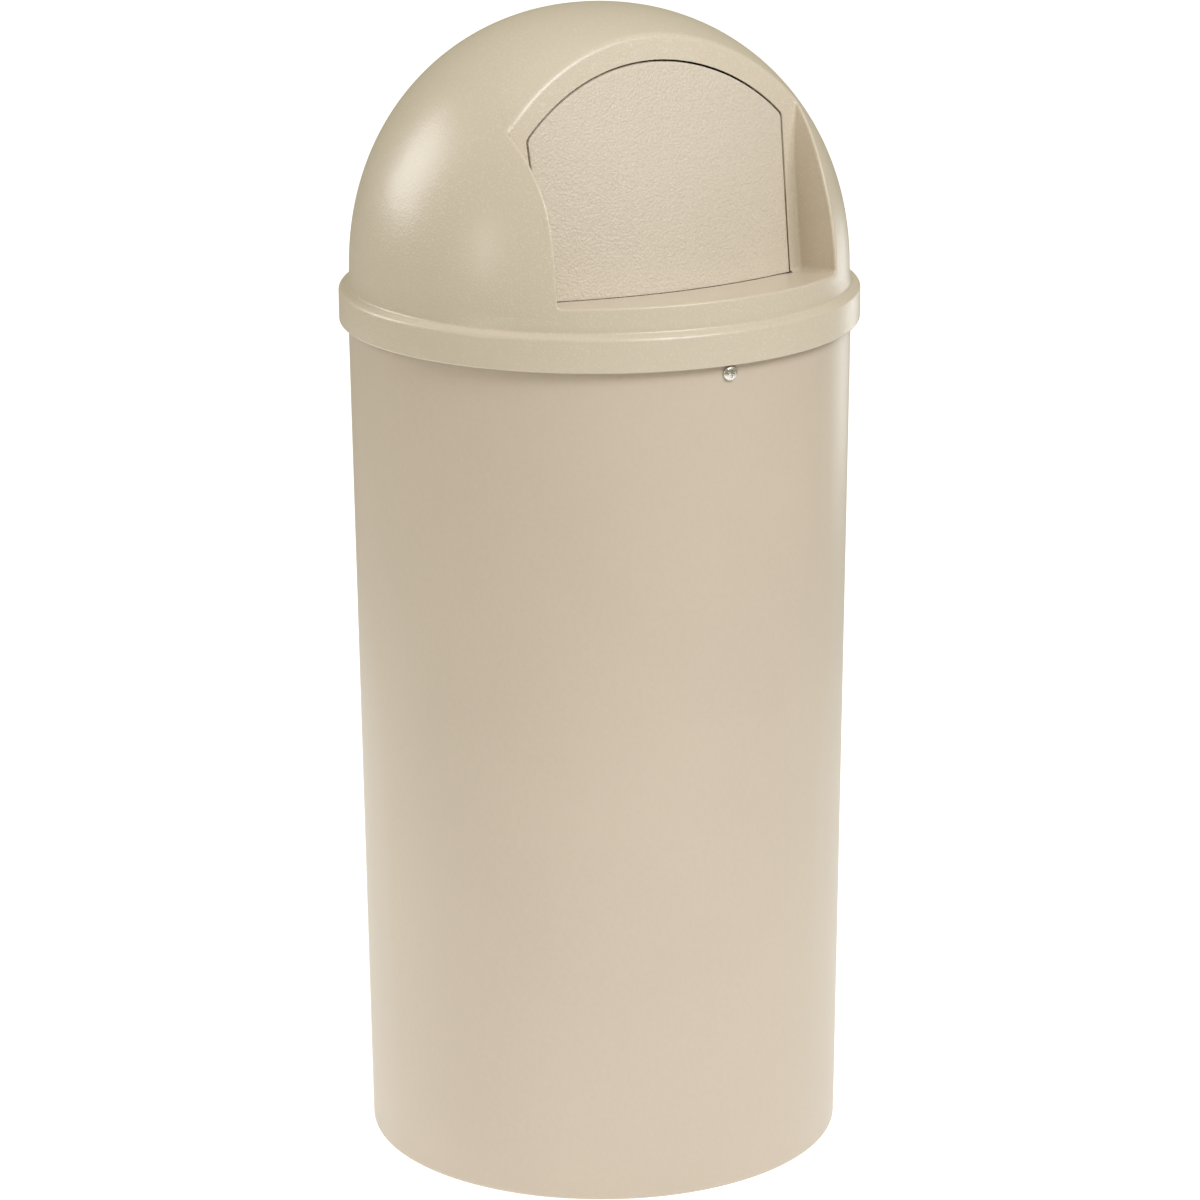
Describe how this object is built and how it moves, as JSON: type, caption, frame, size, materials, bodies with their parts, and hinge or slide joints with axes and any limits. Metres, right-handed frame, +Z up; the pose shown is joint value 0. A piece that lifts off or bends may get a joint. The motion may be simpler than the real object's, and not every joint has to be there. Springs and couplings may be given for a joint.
{
  "type": "dome top waste receptacle",
  "caption": "Round tapered waste container with a lift-off dome whose recessed front holds an arched, sprung push door.",
  "frame": {"origin": "on the ground, under the receptacle's upright axis", "axes": "+Z up; the door faces -Y; +X to the right of someone who faces the back, so the door's right side as seen from the front"},
  "size_m": [0.4762, 0.4762, 1.067],
  "materials": {
    "container_plastic": "satin moulded beige plastic",
    "dome_plastic": "beige plastic with a fine sparkling grain",
    "door_plastic": "beige plastic with a pebbled grain",
    "plated_steel": "zinc plated",
    "spring_steel": "drawn wire",
    "screw_steel": "bright plated, cross recess",
    "black_rubber": "matte",
    "white_nylon": "natural nylon"
  },
  "bodies": {
    "container": {"container_body": "container_plastic", "bag_band": "black_rubber", "latch_bush_front": "white_nylon", "latch_bush_rear": "white_nylon"},
    "dome": {"dome_top": "dome_plastic", "door_hinge_rod": "plated_steel", "rod_cap_left": "plated_steel", "rod_cap_right": "plated_steel", "latch_keeper_front": "plated_steel", "keeper_screw_front_1": "plated_steel", "keeper_screw_front_2": "plated_steel", "latch_keeper_rear": "plated_steel", "keeper_screw_rear_1": "plated_steel", "keeper_screw_rear_2": "plated_steel"},
    "door": {"push_door": "door_plastic", "door_bumper_left": "black_rubber", "door_bumper_right": "black_rubber", "door_spring_left": "spring_steel", "door_spring_right": "spring_steel"},
    "front_latch": {"latch_screw_front": "screw_steel", "latch_arm_front": "plated_steel", "latch_nut_front": "plated_steel"},
    "rear_latch": {"latch_screw_rear": "screw_steel", "latch_arm_rear": "plated_steel", "latch_nut_rear": "plated_steel"}
  },
  "joints": [
    {"name": "dome_lift", "type": "slide", "parent": "container", "child": "dome", "axis": [0, 0, 1], "range_m": [0, 0.15]},
    {"name": "door_swing", "type": "hinge", "parent": "dome", "child": "door", "pos_m": [0, -0.0827, 1], "axis": [1, 0, 0], "range_deg": [0, 60], "stiffness_Nm_per_rad": 0.6, "springref_deg": -51.57, "deforming": ["door_spring_left", "door_spring_right"]},
    {"name": "front_latch_turn", "type": "hinge", "parent": "container", "child": "front_latch", "pos_m": [0, -0.225, 0.774], "axis": [0, 1, 0], "range_deg": [0, 90]},
    {"name": "rear_latch_turn", "type": "hinge", "parent": "container", "child": "rear_latch", "pos_m": [0, 0.225, 0.774], "axis": [0, -1, 0], "range_deg": [0, 90]}
  ]
}
